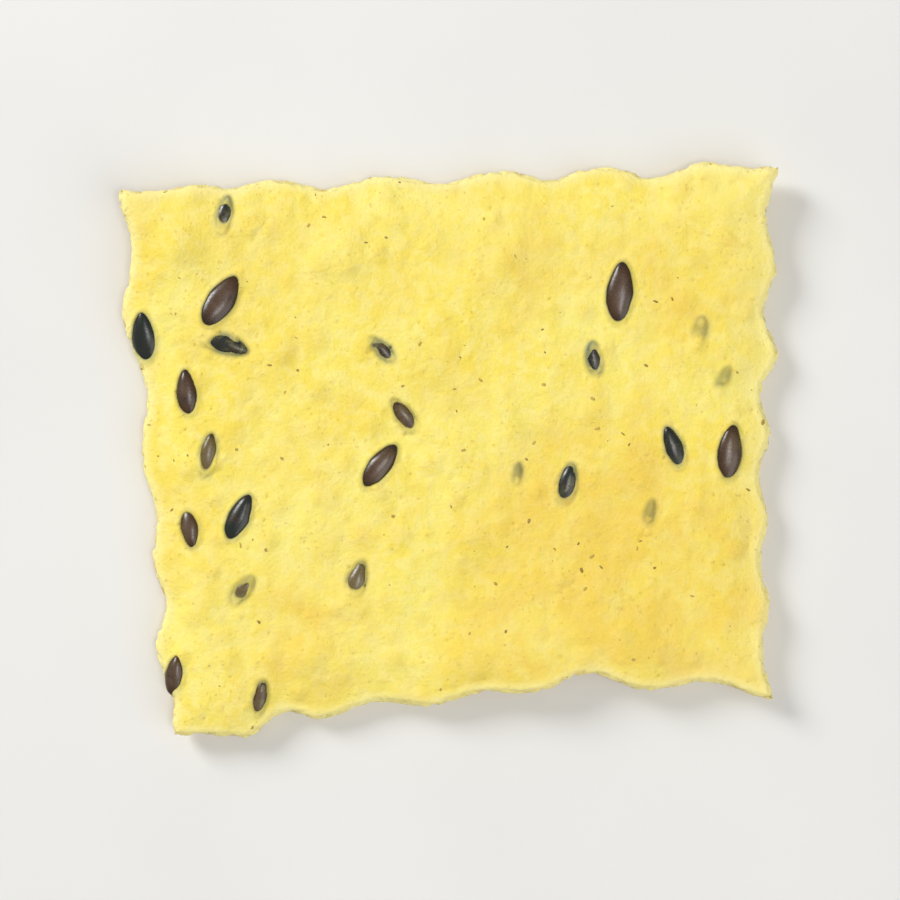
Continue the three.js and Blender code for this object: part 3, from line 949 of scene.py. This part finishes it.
def dough_material(settings):
    """Baked dough: soft mottling, toasting where it rose, specks, the dark of seeds under its skin, and
    painted light: contact shade round bare seeds, shade in pits, pores and torn crumb, a highlight along the
    rim.
    """
    material, nodes, surface, place = new_material("baked dough", {
        "Subsurface Weight": 0.1, "Subsurface Radius": (1, 0.65, 0.25), "Subsurface Scale": 0.8 * MM,
        "Specular IOR Level": 0.4,
    })

    def patches(scale, low, high, stretched=1):
        """Soft patches where noise gets from low to high, longer along Y where they are stretched."""
        squeezed = nodes.vector("MULTIPLY", place, (1, 1 / stretched, 1))
        return nodes.noise(squeezed, scale, 3, 0.55, 0.4).stretch(low, high)

    def marked(name, low, high, shape="SMOOTHSTEP"):
        return attribute(nodes, name).stretch(low, high, shape=shape)

    inset, under = attribute(nodes, "inset"), marked("underside", 0.5, 0.9)
    rim = inset.stretch(0.1 * MM, 1.3 * MM, 1, 0)
    broad_rim = inset.stretch(0.3 * MM, 3.6 * MM, 1, 0)
    on_right = nodes.parts(place)[0].stretch(*PALE_RIGHT)
    flecks, smudges, dust, pits = (specks(nodes, place, *kind) for kind in (FLECKS, SMUDGES, DUST, PITS))
    fleck_brown = nodes.mix(flecks["Tone"], paint(218, 180, 80), paint(168, 136, 60))
    # A seed's colour seen through the skin; round a bare seed the same colour is painted contact shade.
    seed_and_shade_colour = nodes.mix(marked("seed_tone", 0.15, 0.6), paint(62, 92, 90), paint(100, 102, 62))

    mottled = patches(0.11, 0.36, 0.66) * 0.6 + patches(0.42, 0.35, 0.65, WRINKLE_STRETCH) * 0.4
    colour = nodes.layers(
        nodes.mix(mottled, settings.cream, settings.yellow),
        (patches(0.8, 0.4, 0.64), 0.6, paint(254, 239, 146)),  # flour
        (warmth(nodes, place, patches), 0.62, settings.toast),
        (patches(0.3, 0.56, 0.72), 0.3, paint(224, 204, 86)),  # stains
        (patches(0.16, 0.35, 0.7) * under, 0.8, paint(226, 172, 78)),  # browned on the tray
        # paler cut rim: partly the cut's own colour, partly a painted highlight
        (rim, 0.65, paint(255, 243, 172)),
        # painted highlight on the right of the rim
        (on_right * broad_rim, 0.3, paint(255, 241, 160)),
        # painted shade in the deeper holes of the torn crumb
        (marked("torn", 0.5, 1.4), 0.5, paint(222, 184, 98)),
        (rim * under * patches(0.6, 0.3, 0.7), 0.6, paint(218, 166, 84)),  # singed lower edge
        (flecks["Mask"], 0.6, fleck_brown),
        (smudges["Mask"], 0.2, paint(206, 184, 92)),
        (dust["Mask"], 0.4, paint(222, 176, 84)),
        # painted shade in the pits
        (pits["Mask"], 0.3, paint(226, 188, 76)),
        # painted shade in the pin holes
        (marked("pore", 0.1, 0.9), 0.5, paint(206, 168, 72)),
        # the dark of seeds under the skin, and painted contact shade round bare seeds
        (marked("over_seed", 0.12, 1, "LINEAR"), 0.85, seed_and_shade_colour),
    )
    grain = fine_grain(nodes, place, size=0.34, sharpness=0.62)
    height = grain - pits["Mask"] * 0.25
    dress(nodes, surface, colour, grain, height, roughness=(0.58, 0.78), strength=1, depth=0.12)
    return material


def shell_material(settings):
    """Flaxseed shell: glossy, from greenish black over brown to olive, with a painted sheen on its middle
    and painted shade round its thin edge.
    """
    material, nodes, surface, place = new_material("flaxseed shell", {"Specular IOR Level": 0.6})
    tone = attribute(nodes, "tone") + (nodes.noise(place, 0.8, 3, 0.6) - 0.5) * 0.9
    edge = attribute(nodes, "edge")
    # Painted sheen: the middle of the browner seeds paler and greyer.
    painted_sheen = edge.stretch(0.05, 0.6, 1, 0) * tone.stretch(0.2, 0.6)
    # A smear of dough is left on the seeds that lie deepest.
    buried = attribute(nodes, "bare").stretch(0.3, 0.9, 1, 0, "LINEAR")
    smear = nodes.noise(place, 1.3, 3, 0.6).stretch(0.45, 0.7) * buried
    colour = nodes.layers(
        settings.black,
        (tone.stretch(0, 0.5), 1, settings.brown),
        (tone.stretch(0.5, 1), 1, settings.olive),
        # painted sheen on the middle
        (painted_sheen, 0.25, paint(128, 108, 96)),
        # painted shade round the seed's thin edge
        (edge.stretch(0.45, 0.95), 0.75, paint(24, 20, 15)),
        (smear, 0.55, paint(138, 132, 86)),
    )
    grain = fine_grain(nodes, place, size=0.12, sharpness=0.5)
    dress(nodes, surface, colour, grain, grain, roughness=(0.22, 0.36), strength=0.6, depth=0.012)
    return material


def bran_material(settings):
    """Bran: matt golden brown, no two flecks alike."""
    material, nodes, surface, place = new_material("bran", {})
    grain = fine_grain(nodes, place, size=0.1, sharpness=0.6)
    colour = nodes.layers(
        settings.dark,
        (attribute(nodes, "tone") ** 0.6, 1, settings.pale),
        (grain.stretch(0.35, 0.65), 0.4, paint(120, 82, 34)),
    )
    dress(nodes, surface, colour, grain, grain, roughness=(0.6, 0.8), strength=0.8, depth=0.02)
    return material


def floor_material(colour):
    """Plain pale floor, with just enough unevenness not to look like paper."""
    matt = {"Roughness": 0.7, "Specular IOR Level": 0.2}
    material, nodes, surface, place = new_material("pale floor", matt)
    cloud = nodes.noise(place, 0.03, 3, 0.5).stretch(0.3, 0.7)
    darker = tuple(0.965 * value for value in colour[:3]) + (1,)
    nodes.feed(surface["Base Color"], nodes.mix(cloud, tuple(colour), darker))
    return material


# ---- Stage ----

# Metres. Each light is a soft disk aimed at the biscuit: (place, size).
FLOOR_HALF = 0.9
LIGHTS = {
    "key": ((-0.37, 0.29, 0.27), 0.22),
    "window": ((0.1, -0.06, 0.5), 0.18),
    "fill": ((0.36, -0.26, 0.3), 0.5),
}
SKY = paint(255, 254, 250)
NEAREST_SEEN = 0.005  # by the camera


class StudioSettings(PropertyGroup):
    """Floor, lights and camera."""

    fill: share_setting("Share of width", 0.74, "How much of the picture the biscuit takes up", 0.1, 1)
    lens: FloatProperty(name="Lens", description="Focal length in millimetres", default=100, min=20, max=300)
    key_power: power_setting("Key light", 2.12, "Power of the light from the far left")
    window_power: power_setting("Window light", 0.6, "Power of the soft light nearly overhead")
    fill_power: power_setting("Fill light", 1, "Power of the light from the other side")
    sky: FloatProperty(name="Sky", description="Strength of the even light all round", default=0.3, min=0)
    floor: colour_setting("Floor", (236, 235, 232), "Colour of the floor")


def soft_light(name, place, size, power):
    lamp = bpy.data.lights.new(name, "AREA")
    lamp.shape = "DISK"
    lamp.size = size
    lamp.energy = power
    light = bpy.data.objects.new(name, lamp)
    light.location = place
    light.rotation_euler = (-Vector(place)).to_track_quat("-Z", "Y").to_euler()
    bpy.context.scene.collection.objects.link(light)


class BISCUIT_OT_set_stage(Operator):
    """Set up the floor, the soft lights and the camera looking straight down"""

    bl_idname = "biscuit.set_stage"
    bl_label = "Set stage"

    def execute(self, context):
        scene = context.scene
        settings = scene.biscuit_studio
        corners = np.array([(-1, -1, 0), (1, -1, 0), (1, 1, 0), (-1, 1, 0)]) * FLOOR_HALF
        floor = new_piece("floor", corners, [(0, 1, 2, 3)])
        floor.data.materials.append(floor_material(settings.floor))

        for name, (place, size) in LIGHTS.items():
            soft_light(name, place, size, getattr(settings, name + "_power"))
        world = bpy.data.worlds.new("studio")
        world.use_nodes = True
        background = world.node_tree.nodes["Background"]
        background.inputs["Color"].default_value = SKY
        background.inputs["Strength"].default_value = settings.sky
        scene.world = world
        scene.view_settings.view_transform = "Standard"

        low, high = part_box("biscuit")
        lens = bpy.data.cameras.new("above")
        lens.lens = settings.lens
        lens.clip_start = NEAREST_SEEN
        camera = bpy.data.objects.new("above", lens)
        distance = (high.x - low.x) / settings.fill * settings.lens / lens.sensor_width
        middle = (low + high) / 2
        camera.location = (middle.x, middle.y, high.z + distance)
        scene.collection.objects.link(camera)
        scene.camera = camera
        return {"FINISHED"}


# ---- Panel and main ----

STEPS = (
    (BISCUIT_OT_lay_seeds, "biscuit_seeds", SeedSettings),
    (BISCUIT_OT_bake_dough, "biscuit_dough", DoughSettings),
    (BISCUIT_OT_strew_bran, "biscuit_bran", BranSettings),
    (BISCUIT_OT_set_stage, "biscuit_studio", StudioSettings),
)


class BISCUIT_PT_panel(Panel):
    """Lists the steps and their settings"""

    bl_idname = "BISCUIT_PT_panel"
    bl_label = "Flaxseed biscuit"
    bl_space_type = "VIEW_3D"
    bl_region_type = "UI"
    bl_category = "Biscuit"

    def draw(self, context):
        for step, name, settings in STEPS:
            box = self.layout.box()
            box.operator(step.bl_idname)
            for setting in settings.__annotations__:
                box.prop(getattr(context.scene, name), setting)


def register():
    for step, name, settings in STEPS:
        bpy.utils.register_class(settings)
        setattr(bpy.types.Scene, name, PointerProperty(type=settings))
        bpy.utils.register_class(step)
    bpy.utils.register_class(BISCUIT_PT_panel)


def unregister():
    bpy.utils.unregister_class(BISCUIT_PT_panel)
    for step, name, settings in reversed(STEPS):
        bpy.utils.unregister_class(step)
        delattr(bpy.types.Scene, name)
        bpy.utils.unregister_class(settings)


def main():
    register()
    bpy.ops.biscuit.lay_seeds()
    bpy.ops.biscuit.bake_dough()
    bpy.ops.biscuit.strew_bran()
    bpy.ops.biscuit.set_stage()


if __name__ == "__main__":
    main()
